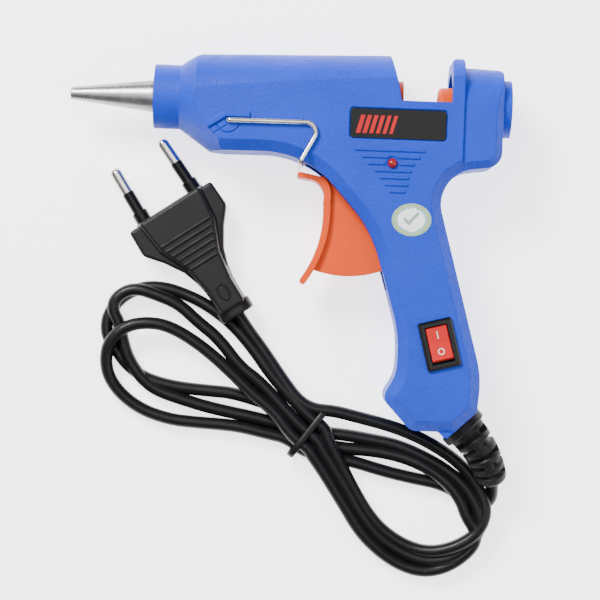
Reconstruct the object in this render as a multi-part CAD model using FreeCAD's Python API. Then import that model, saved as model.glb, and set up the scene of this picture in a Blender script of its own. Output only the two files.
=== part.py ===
"""Mini hot-melt glue gun with a mains cord, lying on its right side.

Frame, in millimetres: +X from the nozzle to the stick inlet, +Y from the handle to the top
of the barrel, +Z up from the surface that it lies on.  The two housing halves meet on the
plane z = ZM.  The origin is under the middle of the gun's own box, without its cord.
"""
import FreeCAD, Part
import math
import os

V = FreeCAD.Vector
X, Y, Z = V(1, 0, 0), V(0, 1, 0), V(0, 0, 1)
os.makedirs("parts", exist_ok=True)

# ---------------------------------------------------------------- driving dimensions
HALF_LENGTH = 68.6          # nozzle tip to inlet boss is twice this
TOP, BOTTOM = 59.0, -59.0   # barrel top and lowest corner of the handle
HALF_THICK = 13.5           # half the housing's thickness
WALL = 2.2
WIRE_R = 0.8                # stand wire
WIRE_GAP = 0.15             # between the stand's legs and the housing
ZM = HALF_THICK + WIRE_GAP + 2 * WIRE_R   # parting plane; the lower leg lies on z = 0
AXIS_Y = 43.65              # glue stick axis
STICK_BORE = 3.75           # takes a 7 mm stick
EDGE = 3.2                  # chamfer along the lower edges of the housing

NOSE_FRONT, NOSE_R = -42.3, 10.0
NOSE_BACK = -34.3
NOTCH_FRONT, NOTCH_BACK, NOTCH_FLOOR = 34.2, 49.7, 44.0
FLANGE_BACK = 53.5          # the ring in front of the rear collar
COLLAR_BACK, COLLAR_R, COLLAR_HALF = 65.8, 12.3, 12.5
BOSS_R = 8.9

PIVOT = V(25.5, 21.5, ZM)   # trigger pivot
TRIGGER_HALF = 4.9          # half width of the trigger inside the housing
PEG = V(28.1, 36.2, ZM)     # carriage pegs that the trigger's fork holds
GRIP = V(40.2, 36.2, ZM)    # gripper pivot
STAND = V(-18.8, 36.0, ZM)  # stand pivot
STAND_BEND = V(10.2, 36.2, 0)
STAND_BAR = V(3.6, 23.7, 0)

SWITCH = V(48.5, -30.15, ZM + HALF_THICK)
SWITCH_TURN = 14.8          # degrees about Z
ROCKER_PIVOT_DEPTH = 1.3    # below the housing's face
ROCKER_REST = 8.0           # degrees, with the upper end pressed
LED = V(32.0, 24.7, ZM + HALF_THICK)

LABEL = (18.4, 48.4, 31.9, 41.5)   # x0, x1, y0, y1
STICKER = V(38.5, 7.6, ZM + HALF_THICK)
SCREWS = [(-20.0, 52.8), (6.5, 31.0), (20.0, 53.6), (58.5, 28.0), (43.5, 12.5), (38.2, -49.0)]
BOSS_OUT = 2.2

GLAND = V(56.6, -54.8, ZM)  # middle of the cord outlet
GLAND_TURN = -46.0          # direction of the outlet, degrees about Z
GUARD_COLLAR = 3.2
GUARD_BEND_R = 24.0
GUARD_BEND = 45.0           # degrees
CORD_R = 2.1

PLUG = V(-37.3, 10.4, 6.85)  # middle of the plug's front face
PLUG_TURN = 124.5
PIN_SPACING, PIN_TIP_SPACING, PIN_LENGTH = 18.6, 17.5, 19.0


# ---------------------------------------------------------------- helpers
def save(name, *solids):
    """Write one node.  Several solids become one group."""
    shape = solids[0] if len(solids) == 1 else Part.makeCompound(list(solids))
    for solid in shape.Solids:
        if not solid.isValid():
            print("INVALID", name)
    print(f"{name:18s} solids {len(shape.Solids)}  volume {shape.Volume:9.2f}")
    shape.exportStep(f"parts/{name}.step")
    NODES[name] = shape


NODES = {}


def box(x0, x1, y0, y1, z0, z1):
    return Part.makeBox(x1 - x0, y1 - y0, z1 - z0, V(x0, y0, z0))


def cylinder(start, direction, radius, length):
    return Part.makeCylinder(radius, length, start, direction)


def ring(start, direction, outer, inner, length):
    return cylinder(start, direction, outer, length).cut(cylinder(start, direction, inner, length))


def path(start, steps):
    """A closed wire on z = 0: each step is an end point, or a via point and an end point."""
    edges, here = [], V(*start, 0)
    for step in steps:
        if len(step) == 2:
            there = V(*step, 0)
            edges.append(Part.LineSegment(here, there).toShape())
        else:
            there = V(step[2], step[3], 0)
            edges.append(Part.Arc(here, V(step[0], step[1], 0), there).toShape())
        here = there
    if here.distanceToPoint(V(*start, 0)) > 1e-6:
        edges.append(Part.LineSegment(here, V(*start, 0)).toShape())
    return Part.Wire(edges)


def prism(wire, z0, z1):
    face = Part.Face(wire)
    face.translate(V(0, 0, z0))
    return face.extrude(V(0, 0, z1 - z0))


def plate(points, z0, z1):
    return prism(path(points[0], points[1:]), z0, z1)


def rounded(x0, x1, y0, y1, radius, z0, z1):
    """A rectangular plate with round corners."""
    solid = box(x0, x1, y0, y1, z0, z1)
    upright = [e for e in solid.Edges if abs(e.tangentAt(e.FirstParameter).z) > 0.9]
    return solid.makeFillet(radius, upright)


def turned(profile):
    """Revolve a closed (x, radius) profile about the stick axis."""
    points = [V(x, AXIS_Y + r, ZM) for x, r in profile]
    face = Part.Face(Part.makePolygon(points + [points[0]]))
    return face.revolve(V(0, AXIS_Y, ZM), X, 360)


def spin(shape, centre, degrees, axis=Z):
    copy = shape.copy()
    copy.rotate(centre, axis, degrees)
    return copy


def both_sides(shape):
    """The shape and its mirror image in the parting plane."""
    return [shape, shape.mirror(V(0, 0, ZM), Z)]


def route(points, radii=None):
    """Straight runs joined by tangent arcs.  radii: one per inner point, or None for the
    largest even ones, 0.45 of the shorter run over the tangent of half the turn."""
    edges, here, used = [], points[0], []
    for i in range(1, len(points) - 1):
        a, b, c = points[i - 1], points[i], points[i + 1]
        u, w = (b - a).normalize(), (c - b).normalize()
        half = u.getAngle(w) / 2
        radius = radii[i - 1] if radii else 0.45 * min(a.distanceToPoint(b),
                                                       b.distanceToPoint(c)) / math.tan(half)
        cut = radius * math.tan(half)
        first, last = b - u * cut, b + w * cut
        inward = (w - u).normalize()
        middle = b + inward * (radius / math.cos(half) - radius)
        if here.distanceToPoint(first) > 1e-6:
            edges.append(Part.LineSegment(here, first).toShape())
        edges.append(Part.Arc(first, middle, last).toShape())
        here = last
        used.append(radius)
    edges.append(Part.LineSegment(here, points[-1]).toShape())
    return Part.Wire(edges), used


def tube(name, points, radius, radii=None):
    """A round wire or cord along a route."""
    wire, used = route(points, radii)
    start = (points[1] - points[0]).normalize()
    circle = Part.Wire(Part.makeCircle(radius, points[0], start))
    solid = wire.makePipeShell([circle], True, False)
    want = math.pi * radius ** 2 * wire.Length
    print(f"  {name}: length {wire.Length:.1f}, volume / section times length "
          f"{solid.Volume / want:.4f}, radii {[round(r, 1) for r in used]}")
    return solid


# ---------------------------------------------------------------- housing
def soft(corners):
    """A closed wire on z = 0 from (x, y, corner radius) points, with tangent arcs."""
    count = len(corners)
    ends = []
    for i, (x, y, radius) in enumerate(corners):
        point = V(x, y, 0)
        before = (V(*corners[i - 1][:2], 0) - point).normalize()
        after = (V(*corners[(i + 1) % count][:2], 0) - point).normalize()
        if not radius:
            ends.append((point, None, point))
            continue
        half = (math.pi - before.getAngle(after)) / 2
        reach = radius * math.tan(half)
        inward = (before + after).normalize()
        middle = point + inward * (radius / math.cos(half) - radius)
        ends.append((point + before * reach, middle, point + after * reach))
    edges = []
    for i, (first, middle, last) in enumerate(ends):
        if middle:
            edges.append(Part.Arc(first, middle, last).toShape())
        edges.append(Part.LineSegment(last, ends[(i + 1) % count][0]).toShape())
    return Part.Wire(edges)


def outline():
    """The housing's side view, without the notch for the stick."""
    return soft([
        (NOSE_FRONT, AXIS_Y - NOSE_R, 0),
        (NOSE_BACK, AXIS_Y - NOSE_R, 0),
        (-25.0, 27.0, 0),
        (5.5, 27.3, 30),
        (26.6, 4.0, 40),
        (36.2, -28.0, 40),
        (35.8, -40.0, 12),
        (31.6, -47.3, 3.8),
        (40.8, -57.1, 4.5),
        (54.29, -57.1, 0),
        (61.1, -50.6, 0),
        (61.9, -39.5, 30),
        (44.5, 22.45, 11),
        (COLLAR_BACK, 25.1, 5),
        (COLLAR_BACK, 54.4, 0),
        (64.8, 55.5, 0),
        (FLANGE_BACK, AXIS_Y + COLLAR_R, 0),
        (FLANGE_BACK, 57.4, 0),
        (52.9, 58.1, 0),
        (50.6, 58.1, 0),
        (NOTCH_BACK, 57.2, 0),
        (NOTCH_BACK, 50.0, 0),
        (32.9, 50.0, 0),
        (30.6, TOP, 1.2),
        (-27.2, 57.3, 0),
        (NOSE_BACK - 0.6, AXIS_Y + NOSE_R, 0),
        (NOSE_FRONT, AXIS_Y + NOSE_R, 0),
    ])


def envelope(shrink, x_shrink):
    """Round nose, tapering round barrel top and round collar, as one cutting solid."""
    slope = 0.0303
    far = 160
    nose = turned([(NOSE_FRONT - 1 + x_shrink, 0), (NOSE_FRONT - 1 + x_shrink, NOSE_R - shrink),
                   (NOSE_BACK, NOSE_R - shrink), (-20, 20.0 - shrink), (-20, far), (80, far),
                   (80, 0)])
    back = FLANGE_BACK + 0.01
    barrel = turned([(-50, 0), (-50, 13.0 - shrink), (back, 13.6 + (back + 27) * slope - shrink),
                     (back, 0)])
    lower = box(-50, back, -80, AXIS_Y, ZM - HALF_THICK + shrink, ZM + HALF_THICK - shrink)
    collar = turned([(back, 0), (back, COLLAR_R + 0.2 - shrink),
                     (COLLAR_BACK + 1, COLLAR_R - 0.3 - shrink), (COLLAR_BACK + 1, 0)])
    under = box(back, COLLAR_BACK + 1, 17, AXIS_Y, ZM - COLLAR_HALF + shrink,
                ZM + COLLAR_HALF - shrink)
    heel = box(back, COLLAR_BACK + 1, -80, 17, ZM - HALF_THICK + shrink,
               ZM + HALF_THICK - shrink)
    return nose.common(barrel.fuse([lower, collar, under, heel]))


def chamfered_block():
    block = prism(outline(), ZM - HALF_THICK, ZM + HALF_THICK)
    picked = []
    for edge in block.Edges:
        low, high = edge.BoundBox.ZMin, edge.BoundBox.ZMax
        middle = edge.valueAt((edge.FirstParameter + edge.LastParameter) / 2)
        flat = abs(high - low) < 1e-6
        if flat and middle.y < 30.0 and middle.x > -26.0:
            picked.append(edge)
    block = block.makeChamfer(EDGE, picked)
    heel = plate([(48.4, -56.9), (49.3, -57.1), (51.3, BOTTOM), (52.3, BOTTOM), (54.4, -56.9)],
                 ZM - HALF_THICK + EDGE, ZM + HALF_THICK - EDGE)
    return block.fuse(heel)


def cavity():
    face = Part.Face(outline()).makeOffset2D(-WALL, 0, False, False, True)
    inside = face.copy()
    inside.translate(V(0, 0, ZM - HALF_THICK + WALL))
    inside = inside.extrude(V(0, 0, 2 * (HALF_THICK - WALL)))
    # the barrel and the collar are open towards the notch
    opening = box(28, 56, 40, 49.0, ZM - HALF_THICK + WALL, ZM + HALF_THICK - WALL)
    through = cylinder(V(28, AXIS_Y, ZM), X, 12.0, 8)
    into_collar = cylinder(V(48, AXIS_Y, ZM), X, 10.4, 8)
    return inside.fuse([opening, through, into_collar]).common(envelope(WALL, WALL))


def pivot_pads():
    """Raised pad above each stand pivot, which stops the wire in both of its places."""
    points = [(-12.1, 37.1), (-12.1, 38.6), (-19.8, 38.7), (-20.6, 38.3), (-25.9, 34.8),
              (-24.9, 33.3), (-19.4, 37.1)]
    top = ZM + HALF_THICK
    return both_sides(plate(points, top - 0.3, top + 0.7))


def pad_lines():
    """Fine moulded lines about the stand pivot."""
    top = ZM + HALF_THICK
    arc = ring(V(STAND.x, STAND.y, top - 0.3), Z, 3.9, 3.6, 1)
    arc = arc.cut(box(-30, 0, STAND.y - 0.9, 60, top - 1, top + 2))
    channel = box(-8.0, -1.2, 0.95, 1.2, top - 0.3, top + 0.7)
    channel.translate(V(STAND.x, STAND.y, 0))
    channel = spin(channel, V(STAND.x, STAND.y, 0), 33)
    lower = box(-8.0, -1.2, -1.2, -0.95, top - 0.3, top + 0.7)
    lower.translate(V(STAND.x, STAND.y, 0))
    lower = spin(lower, V(STAND.x, STAND.y, 0), 33)
    return [piece for cut in (arc, channel, lower) for piece in both_sides(cut)]


def grip_ribs():
    """Seven shallow ribs that get shorter towards the handle, round the lamp."""
    top = ZM + HALF_THICK
    starts = [20.2, 22.6, 24.3, 26.5, 28.2, 29.9, 31.4]
    ends = [42.0, 40.4, 38.8, 37.9, 37.3, 37.1, 36.4]
    ribs = []
    for i, (x0, x1) in enumerate(zip(starts, ends)):
        y = 28.7 - 2.1 * i
        ribs.append(rounded(x0, x1, y - 0.4, y + 0.4, 0.39, top - 0.2, top + 0.3))
    return ribs


def housing():
    outer = chamfered_block().common(envelope(0, 0))
    hollow = cavity()
    outer = outer.fuse(cylinder(V(COLLAR_BACK - 1, AXIS_Y, ZM), X, BOSS_R,
                                HALF_LENGTH - COLLAR_BACK + 1))
    shell = outer.cut(hollow)
    wall_z = HALF_THICK - WALL

    # inner ribs and bosses, kept inside the hollow
    inner = [box(-32.0, -30.5, 30, 58, ZM - wall_z, ZM + wall_z),
             box(-1.0, 0.5, 36, 58, ZM - wall_z, ZM + wall_z)]
    for x, y in SCREWS:
        inner.append(cylinder(V(x, y, ZM - wall_z - 0.5), Z, BOSS_OUT, 2 * wall_z + 1))
    depth = HALF_THICK - TRIGGER_HALF - 0.2
    for side in (1, -1):
        inner.append(cylinder(V(PIVOT.x, PIVOT.y, ZM + side * (TRIGGER_HALF + 0.2)), Z * side,
                              3.2, depth))
        z0, z1 = sorted((ZM + side * 2.0, ZM + side * wall_z))
        inner.append(box(36.5, 50.5, 32.3, 34.3, z0, z1))
    inner.append(box(62.2, 64.0, 30.6, 34.6, ZM - wall_z, ZM + wall_z))
    ribs = [solid.common(hollow) for solid in inner]
    shell = shell.fuse(ribs + pivot_pads())

    # openings
    long_bore = cylinder(V(-60, AXIS_Y, ZM), X, 5.6, 20)
    cuts = [long_bore,
            cylinder(V(-34, AXIS_Y, ZM), X, 6.5, 36),
            cylinder(V(54, AXIS_Y, ZM), X, STICK_BORE, 20),
            cylinder(PIVOT - Z * 10.2, Z, 1.5, 20.4),
            cylinder(STAND - Z * 20, Z, WIRE_R + 0.05, 40),
            cylinder(GLAND - gland_dir() * 4.0, gland_dir(), 4.0, 8),
            box(NOTCH_FRONT, NOTCH_BACK, NOTCH_FLOOR, 70, -5, 40),
            plate([(29.5, 70), (33.0, 50.0), (NOTCH_FRONT, NOTCH_FLOOR), (40, NOTCH_FLOOR),
                   (40, 70)], -5, 40),
            trigger_slot(),
            cylinder(LED - Z * 5, Z, 1.55, 10)]
    cuts += pad_lines()
    x0, x1, y0, y1 = LABEL
    cuts.append(rounded(x0, x1, y0, y1, 1.2, ZM + HALF_THICK - 0.5, ZM + HALF_THICK + 1))
    hole = box(-6.55, 6.55, -4.25, 4.25, -4, 4)
    cuts.append(place_switch(spin(hole, V(0, 0, 0), 90)))
    for x, y in SCREWS:
        cuts.append(cylinder(V(x, y, ZM - 30), Z, 1.3, 30))
        cuts.append(cylinder(V(x, y, ZM - 30), Z, 2.05, 30 - 9.5))
        cuts.append(cylinder(V(x, y, ZM - 0.01), Z, 1.1, 7.5))
    shell = shell.cut(cuts)
    shell = shell.fuse([rib.cut(cylinder(LED - Z * 5, Z, 2.2, 10)) for rib in grip_ribs()])
    big = 120
    left = shell.common(box(-big, big, -big, big, ZM, ZM + 40))
    right = shell.common(box(-big, big, -big, big, ZM - 40, ZM))
    posts = [ring(p, Z * -1, 2.0, 0.9, CORD_R + wall_z + 0.3) for p in clamp_points(CORD_R)]
    right = right.fuse(posts)
    return left, right


def trigger_slot():
    """The opening in the front of the handle that the trigger swings through."""
    return plate([(5.5, 24.5), (4.0, 18.0), (16.0, 4.0), (28.0, -14.0), (35.5, -14.0),
                  (36.5, 4.0), (27.0, 17.0), (14.0, 26.2)], ZM - 5.3, ZM + 5.3)


# ---------------------------------------------------------------- heater and stick path
def nozzle():
    return turned([(-HALF_LENGTH, 0.9), (-HALF_LENGTH, 1.75), (-HALF_LENGTH + 0.25, 1.95),
                   (-43.0, 5.0), (-38.0, 5.0), (-38.0, 3.4), (-31.5, 3.4), (-31.5, 2.2),
                   (-62.0, 1.8), (-64.5, 0.9)])


def melt_barrel():
    body = turned([(-38.0, 3.4), (-38.0, 6.0), (-33.5, 6.0), (-33.5, 6.5), (2.0, 6.5),
                   (2.0, 4.6), (10.0, 4.6), (10.0, 3.7), (-30.5, 3.7), (-31.4, 3.4)])
    pocket = box(-26, -4, 31.0, AXIS_Y - 3.9, ZM - 4.6, ZM + 4.6)
    body = body.fuse(pocket.cut(turned([(-40, 0), (-40, 6.4), (5, 6.4), (5, 0)])))
    return body.cut(box(-30, 0, 32.2, 35.2, ZM - 3.6, ZM + 3.6))


def heater_parts():
    save("ptc_heater", box(-25.5, -4.5, 32.2, 35.2, ZM - 3.6, ZM + 3.6))
    strap = box(-18, -12, 30.4, 38.6, ZM - 5.1, ZM + 5.1)
    strap = strap.cut(box(-19, -11, 31.0, 39, ZM - 4.6, ZM + 4.6))
    save("heater_clip", strap)
    save("inlet_sleeve", turned([(3.0, 4.6), (3.0, 5.7), (11.0, 5.7), (11.6, 5.2), (23.4, 5.2),
                                 (23.4, 5.35), (24.5, 5.35), (24.5, STICK_BORE),
                                 (10.0, STICK_BORE), (10.0, 4.6)]))
    band = turned([(5.4, 5.7), (5.4, 6.2), (8.0, 6.2), (8.0, 5.7)])
    ear = box(5.4, 8.0, AXIS_Y + 6.0, AXIS_Y + 8.4, ZM - 1.1, ZM + 1.1)
    save("sleeve_clamp", band.fuse(ear))


# ---------------------------------------------------------------- trigger and feed
def trigger():
    blade = prism(path((3.9, 21.45), [
        (3.0, 20.6, 3.8, 19.75),
        (7.6, 19.2),
        (10.5, 17.2, 11.35, 12.6),
        (10.75, 1.6, 5.1, -11.6),
        (5.0, -12.6, 6.7, -12.9),
        (12.9, 1.6, 13.6, 12.6),
        (13.3, 17.0, 11.6, 20.0),
    ]), ZM - 6.4, ZM + 6.4)
    web = prism(path((11.0, 19.6), [
        (13.2, 11.0),
        (12.6, 1.4, 8.4, -8.4),
        (19.2, -10.2, 30.7, -8.1),
        (34.0, -7.0),
        (33.6, 6.0, 29.3, 22.6),
        (24.0, 25.2),
        (20.5, 22.0),
    ]), ZM - 4.4, ZM + 4.4)
    hub = cylinder(PIVOT - Z * TRIGGER_HALF, Z, 4.0, 2 * TRIGGER_HALF)
    lean = (PEG - PIVOT).normalize()
    arms = box(-3.4, 3.4, 0, 16.2, ZM - TRIGGER_HALF, ZM + TRIGGER_HALF)
    arms = arms.cut([box(-1.6, 1.6, 12.9, 18, 0, 40),
                     box(-4, 4, 4.4, 18, ZM - 2.9, ZM + 2.9)])
    arms.translate(V(PIVOT.x, PIVOT.y, 0))
    arms = spin(arms, PIVOT, -math.degrees(math.atan2(lean.x, lean.y)))
    body = blade.fuse([web, hub, arms])
    pocket = plate([(16.5, -20), (15.0, -4.0), (29.0, -4.0), (29.5, -20)], ZM - 2.9, ZM + 2.9)
    return body.cut([cylinder(PIVOT - Z * 10, Z, 1.56, 20), pocket])


def carriage():
    bridge = box(26.0, 53.0, 34.6, 37.9, ZM - 2.6, ZM + 2.6)
    pegs = cylinder(PEG - Z * TRIGGER_HALF, Z, 1.5, 2 * TRIGGER_HALF)
    front = cylinder(V(33.2, AXIS_Y, ZM), X, 7.5, 1.8)
    rear = cylinder(V(45.9, AXIS_Y, ZM), X, 6.0, 7.1)
    rear = rear.makeFillet(1.4, [e for e in rear.Edges
                                 if abs(e.BoundBox.XMin - 45.9) < 1e-6 and e.Length > 30])
    seat = box(45.9, 53.0, 34.6, 40.0, ZM - 3.6, ZM + 3.6)
    lug = box(51.2, 52.6, 30.4, 34.8, ZM - 1.2, ZM + 1.2)
    body = bridge.fuse([pegs, front, rear, seat, lug])
    return body.cut([cylinder(V(20, AXIS_Y, ZM), X, STICK_BORE, 40),
                     box(37.9, 44.9, 33, 41, ZM - 1.6, ZM + 1.6),
                     cylinder(GRIP - Z * 5, Z, 0.8, 10),
                     cylinder(V(50, 32.6, ZM), X, 0.5, 4)])


def gripper():
    hub = cylinder(GRIP - Z * 1.45, Z, 1.7, 2.9)
    jaw = plate([(39.4, 37.6), (41.3, 35.0), (43.9, 38.2), (44.1, 39.6), (43.5, 39.1),
                 (43.2, 39.75), (42.6, 39.1), (42.2, 39.6)], ZM - 1.45, ZM + 1.45)
    return hub.fuse(jaw).cut(cylinder(GRIP - Z * 5, Z, 0.85, 10))


def return_spring():
    """Extension spring from the carriage's lug to the rib at the back of the collar."""
    helix = Part.makeHelix(1.1, 7.7, 1.7)
    start = helix.Edges[0].valueAt(helix.Edges[0].FirstParameter)
    circle = Part.Wire(Part.makeCircle(0.28, start, Y))
    coil = Part.Wire(helix.Edges).makePipeShell([circle], True, True)
    coil.rotate(V(0, 0, 0), Y, 90)
    coil.translate(V(53.6, 32.6, ZM))
    return coil


def stand_wire():
    leg = ZM + HALF_THICK + WIRE_GAP + WIRE_R
    low = 2 * ZM - leg
    inner = HALF_THICK - 4.0
    points = [V(STAND.x, STAND.y, ZM + inner), V(STAND.x, STAND.y, leg),
              V(STAND_BEND.x, STAND_BEND.y, leg), V(STAND_BAR.x, STAND_BAR.y, leg),
              V(STAND_BAR.x, STAND_BAR.y, low), V(STAND_BEND.x, STAND_BEND.y, low),
              V(STAND.x, STAND.y, low), V(STAND.x, STAND.y, ZM - inner)]
    return tube("stand_wire", points, WIRE_R, [0.9, 3.0, 1.2, 1.2, 3.0, 0.9])


# ---------------------------------------------------------------- switch, lamp, labels
def place_switch(shape):
    """From the switch's own frame (X across, Y along, Z out of the housing) to its place."""
    copy = shape.copy()
    copy.rotate(V(0, 0, 0), Z, SWITCH_TURN)
    copy.translate(SWITCH)
    return copy


def switch_parts():
    pivot = V(0, 0, -ROCKER_PIVOT_DEPTH)
    bezel = rounded(-5.3, 5.3, -7.6, 7.6, 0.8, 0, 1.6)
    top = [e for e in bezel.Edges if abs(e.BoundBox.ZMin - 1.6) < 1e-6]
    bezel = bezel.makeChamfer(0.7, top)
    body = box(-4.2, 4.2, -6.5, 6.5, -12.0, 0.1)
    window = box(-3.45, 3.45, -5.8, 5.8, -6.0, 3)
    housing_ = bezel.fuse(body).cut([window, cylinder(pivot - X * 4.0, X, 0.75, 8.0)])
    save("switch_housing", place_switch(housing_))

    # a shallow V of two faces, pivoted below its middle
    side = [(-5.4, 1.15), (-5.1, 1.9), (0.0, 1.25), (5.1, 1.9), (5.4, 1.15), (4.6, -1.2),
            (2.0, -2.6), (-2.0, -2.6), (-4.6, -1.2)]
    wire = Part.makePolygon([V(-3.25, y, z) for y, z in side + side[:1]])
    rocker = Part.Face(wire).extrude(X * 6.5)
    rocker = rocker.fuse(cylinder(pivot - X * 3.9, X, 0.7, 7.8))
    save("switch_rocker", place_switch(spin(rocker, pivot, -ROCKER_REST, X)))

    blades = [box(-2.4, 2.4, y - 0.4, y + 0.4, -18.0, -12.0) for y in (-3.5, 3.5)]
    save("switch_terminals", *[place_switch(b) for b in blades])


def lamp():
    dome = cylinder(LED - Z * 3.5, Z, 1.5, 3.6).fuse(Part.makeSphere(1.5, LED + Z * 0.1))
    flange = cylinder(LED - Z * 4.3, Z, 2.0, 0.8)
    legs = [cylinder(LED + V(dx, 0, -10.0), Z, 0.25, 6.0) for dx in (-1.27, 1.27)]
    flange_cut = flange.fuse(legs + [dome])
    save("indicator_led", flange_cut)
    save("led_resistor", cylinder(LED + V(1.27, -2.8, -10.9), Y, 0.9, 5.6))


def labels():
    x0, x1, y0, y1 = LABEL
    top = ZM + HALF_THICK
    save("label_plate", rounded(x0 + 0.3, x1 - 0.3, y0 + 0.3, y1 - 0.3, 1.0, top - 0.5, top - 0.1))
    oval = Part.Wire(Part.Ellipse(V(0, 0, 0), 6.05, 5.0).toShape())
    sticker = prism(oval, 0, 0.15)
    sticker.translate(STICKER)
    save("rating_sticker", sticker)


# ---------------------------------------------------------------- screws
def screw(head_point, head_r, head_h, shank_r, shank_l):
    """A pan-head screw that points along +Z from the seat of its head."""
    head = cylinder(head_point - Z * head_h, Z, head_r, head_h)
    shank = cylinder(head_point, Z, shank_r, shank_l)
    cross = [box(-1.2, 1.2, -0.3, 0.3, 0, 0.8), box(-0.3, 0.3, -1.2, 1.2, 0, 0.8)]
    for slot in cross:
        slot.translate(head_point - Z * head_h)
    return head.fuse(shank).cut(cross)


def gland_dir():
    a = math.radians(GLAND_TURN)
    return V(math.cos(a), math.sin(a), 0)


def gland_side():
    a = math.radians(GLAND_TURN + 90)
    return V(math.cos(a), math.sin(a), 0)


def clamp_points(height):
    """Where the two clamp screws stand, one each side of the cord."""
    middle = GLAND - gland_dir() * 9.0 + Z * height
    return [middle + gland_side() * s * 4.7 for s in (-1, 1)]


def along_gland(x0, x1, y0, y1, z0, z1):
    """A box in the outlet's frame: X along the cord outwards, Y across, Z up."""
    shape = box(x0, x1, y0, y1, z0, z1)
    shape.rotate(V(0, 0, 0), Z, GLAND_TURN)
    shape.translate(GLAND)
    return shape


def fasteners():
    save("shell_screws", *[screw(V(x, y, ZM - 9.5), 2.0, 1.6, 1.1, 16.5) for x, y in SCREWS])
    bar = along_gland(-11.0, -7.0, -6.6, 6.6, CORD_R, CORD_R + 2.2)
    bar = bar.cut([cylinder(p - Z, Z, 1.0, 6) for p in clamp_points(CORD_R)])
    save("cord_clamp", bar)
    down = []
    for p in clamp_points(CORD_R + 2.2):
        upright = screw(V(0, 0, 0), 1.9, 1.4, 0.9, 8.6)
        upright.rotate(V(0, 0, 0), X, 180)
        upright.translate(p)
        down.append(upright)
    save("clamp_screws", *down)


# ---------------------------------------------------------------- cord inside the handle
def leads():
    start = GLAND - gland_dir() * 13.0
    save("inner_cord", cylinder(GLAND - gland_dir() * 4.2, gland_dir() * -1, CORD_R, 8.8))
    r = 0.8
    low, lower = ZM - 8.3, ZM - 10.2
    t = place_switch(Part.Vertex(V(0, -3.5, -15.0))).Point
    live = [start + V(-0.4, 0.6, 1.0), start + V(-3.0, 3.4, 0.5), V(44.6, -38.6, ZM - 3.2),
            V(t.x - 3.2, t.y, t.z + 0.6)]
    save("live_lead", tube("live_lead", live, r, [2.6, 2.6]))
    route_up = [V(46.0, -14.0, low), V(39.5, 0.0, low), V(34.6, 12.0, low),
                V(31.4, 23.0, low), V(23.0, 33.9, low), V(8.0, 34.7, low)]
    top = place_switch(Part.Vertex(V(0, 3.5, -15.0))).Point
    switched = [V(top.x - 3.2, top.y, top.z - 1.0), V(47.6, -21.5, low + 1.0)] + route_up
    switched.append(V(-3.4, 34.4, low))
    save("switched_lead", tube("switched_lead", switched, r, [3.0, 12, 12, 12, 8, 8, 20]))
    neutral = [start + V(-0.6, 0.6, -1.1), start + V(-4.0, 5.0, -4.0), V(42.6, -32.0, lower),
               V(43.6, -15.0, lower)]
    neutral += [p - Z * 1.9 for p in route_up[1:]] + [V(-3.4, 34.4, lower)]
    save("neutral_lead", tube("neutral_lead", neutral, r, [3, 6, 20, 12, 12, 8, 8, 20]))


# ---------------------------------------------------------------- cord outside
def guard_frame():
    """Centre, bend direction and end of the guard's curved sleeve."""
    out = gland_dir()
    sideways = gland_side() * -1
    bend = (sideways * 0.6 - Z * 0.8).normalize()
    a = math.radians(GUARD_BEND)
    start = GLAND + out * GUARD_COLLAR
    end = start + out * (GUARD_BEND_R * math.sin(a)) + bend * (GUARD_BEND_R * (1 - math.cos(a)))
    heading = out * math.cos(a) + bend * math.sin(a)
    return start, out, bend, end, heading


def cord_guard():
    start, out, bend, end, _ = guard_frame()
    collar = cylinder(GLAND + out * 0.15, out, 7.3, GUARD_COLLAR - 0.15)
    neck = cylinder(GLAND - out * 3.9, out, 4.0, 4.3)
    tabs = along_gland(-3.9, -2.6, -1.5, 1.5, -5.4, 5.4)
    a = math.radians(GUARD_BEND / 2)
    middle = start + out * (GUARD_BEND_R * math.sin(a)) + bend * (
        GUARD_BEND_R * (1 - math.cos(a)))
    wire = Part.Wire(Part.Arc(start, middle, end).toShape())
    circle = Part.Wire(Part.makeCircle(5.25, start, out))
    sleeve = wire.makePipeShell([circle], True, False)
    return collar.fuse([neck, tabs, sleeve])


def cord_exit():
    """From the guard down to the surface and round to the hank."""
    _, _, _, end, heading = guard_frame()
    points = [end, end + heading * 4.5, V(67.0, -81.5, 3.1), V(60.5, -82.3, CORD_R + 0.1),
              V(54.0, -78.4, CORD_R + 0.1)]
    return tube("cord_exit", points, CORD_R)


HANK_TOP = 8.6
LEFT_LOBE = [(7.0, -63.5), (-7.0, -61.8, -19.0, -59.8), (-36.0, -56.0, -50.0, -43.0),
             (-57.3, -33.0, -57.0, -25.0), (-54.6, -16.0, -45.0, -12.2),
             (-36.5, -12.3, -27.5, -17.5), (-17.8, -30.0, -3.5, -43.0), (13.0, -56.0)]
LEFT_HOLE = [(-52.0, -33.5), (-46.0, -28.0, -37.0, -29.5), (-24.0, -36.0, -12.0, -46.5),
             (-32.0, -46.8, -45.0, -40.0)]
RIGHT_LOBE = [(7.0, -63.5), (13.0, -56.0), (26.0, -54.3, 43.0, -60.5),
              (60.0, -71.0, 65.5, -84.0), (65.5, -97.0, 56.5, -104.0),
              (40.0, -108.5, 25.0, -93.0), (14.0, -76.0)]
RIGHT_HOLE = [(24.0, -73.5), (38.0, -74.0, 53.0, -77.0), (60.0, -86.0, 57.0, -94.0),
              (46.5, -99.0, 33.0, -90.0)]


def hanks():
    left = prism(path(LEFT_LOBE[0], LEFT_LOBE[1:]), 0, HANK_TOP)
    left = left.cut(prism(path(LEFT_HOLE[0], LEFT_HOLE[1:]), -1, 20))
    right = prism(path(RIGHT_LOBE[0], RIGHT_LOBE[1:]), 0, HANK_TOP)
    right = right.cut(prism(path(RIGHT_HOLE[0], RIGHT_HOLE[1:]), -1, 20))
    return left, right


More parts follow.
